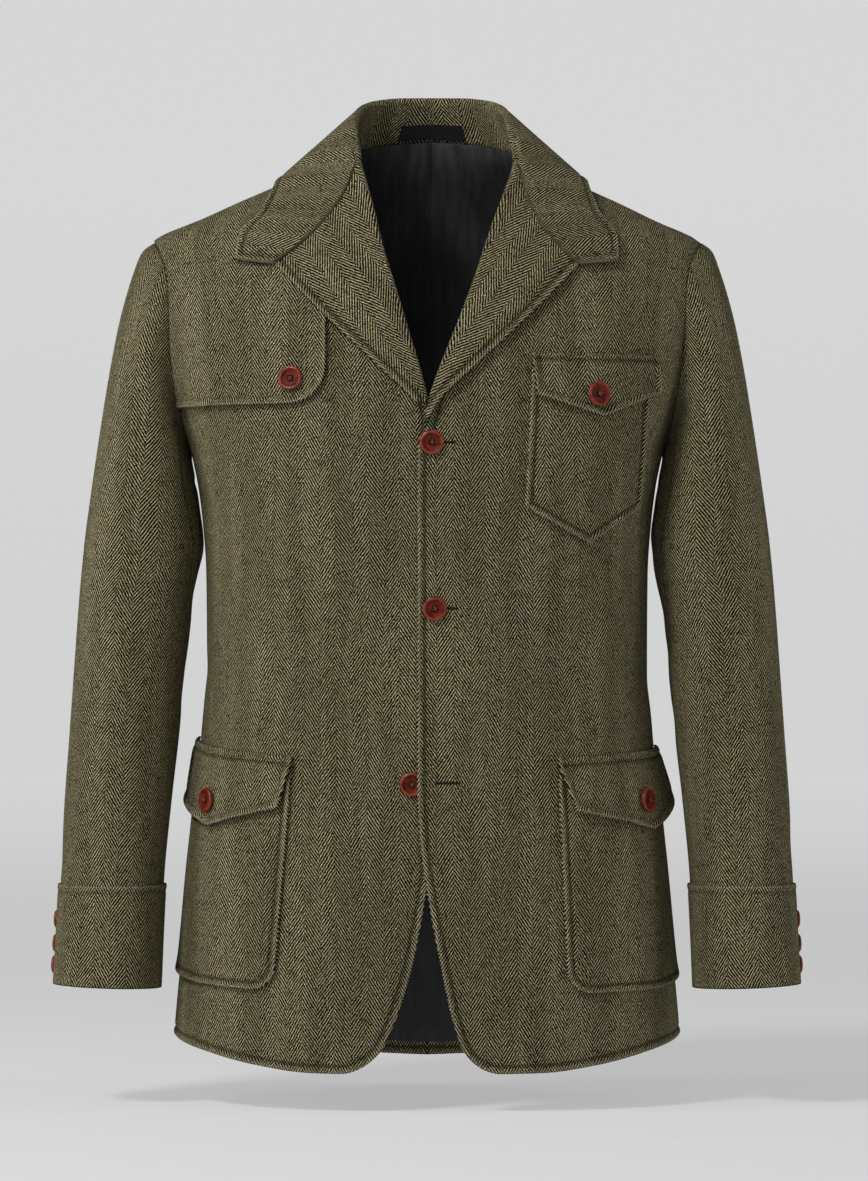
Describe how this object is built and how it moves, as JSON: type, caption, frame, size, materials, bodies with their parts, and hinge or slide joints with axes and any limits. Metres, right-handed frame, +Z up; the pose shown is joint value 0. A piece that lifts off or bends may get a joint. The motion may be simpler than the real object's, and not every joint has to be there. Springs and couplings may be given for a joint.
{
  "type": "tweed hacking jacket",
  "caption": "Single-breasted tweed hacking jacket filled out as if worn, with notched lapels, gun patch, patch pockets with flaps, sewn-on cuffs and a cutaway hem.",
  "frame": {"origin": "middle of the neck opening, level with the shoulder seams where they meet the collar, where a wearer's neck and shoulders hold the jacket up", "axes": "+Z up along the wearer's spine, -Y towards the front, +X towards the wearer's left"},
  "size_m": [0.6196, 0.2757, 0.808],
  "materials": {
    "tweed": "olive and near-black herringbone tweed, matt, brushed",
    "lining": "black satin lining",
    "button": "dark red-brown, polished",
    "label": "black woven tape, bare"
  },
  "bodies": {
    "root": {"back_left": "tweed", "back_right": "tweed", "breast_flap": "tweed", "breast_pocket": "tweed", "button_breast": "button", "button_cuff_left_1": "button", "button_cuff_left_2": "button", "button_cuff_left_3": "button", "button_cuff_right_1": "button", "button_cuff_right_2": "button", "button_cuff_right_3": "button", "button_front_1": "button", "button_front_2": "button", "button_front_3": "button", "button_patch": "button", "button_pocket_left": "button", "button_pocket_right": "button", "collar": "tweed", "cuff_left": "tweed", "cuff_right": "tweed", "front_left": "tweed", "front_right": "tweed", "gun_patch": "tweed", "label": "label", "lapel_left": "tweed", "lapel_right": "tweed", "lining_left": "lining", "lining_right": "lining", "pocket_flap_left": "tweed", "pocket_flap_right": "tweed", "pocket_left": "tweed", "pocket_right": "tweed", "sleeve_top_left": "tweed", "sleeve_top_right": "tweed", "sleeve_under_left": "tweed", "sleeve_under_right": "tweed"}
  },
  "joints": []
}
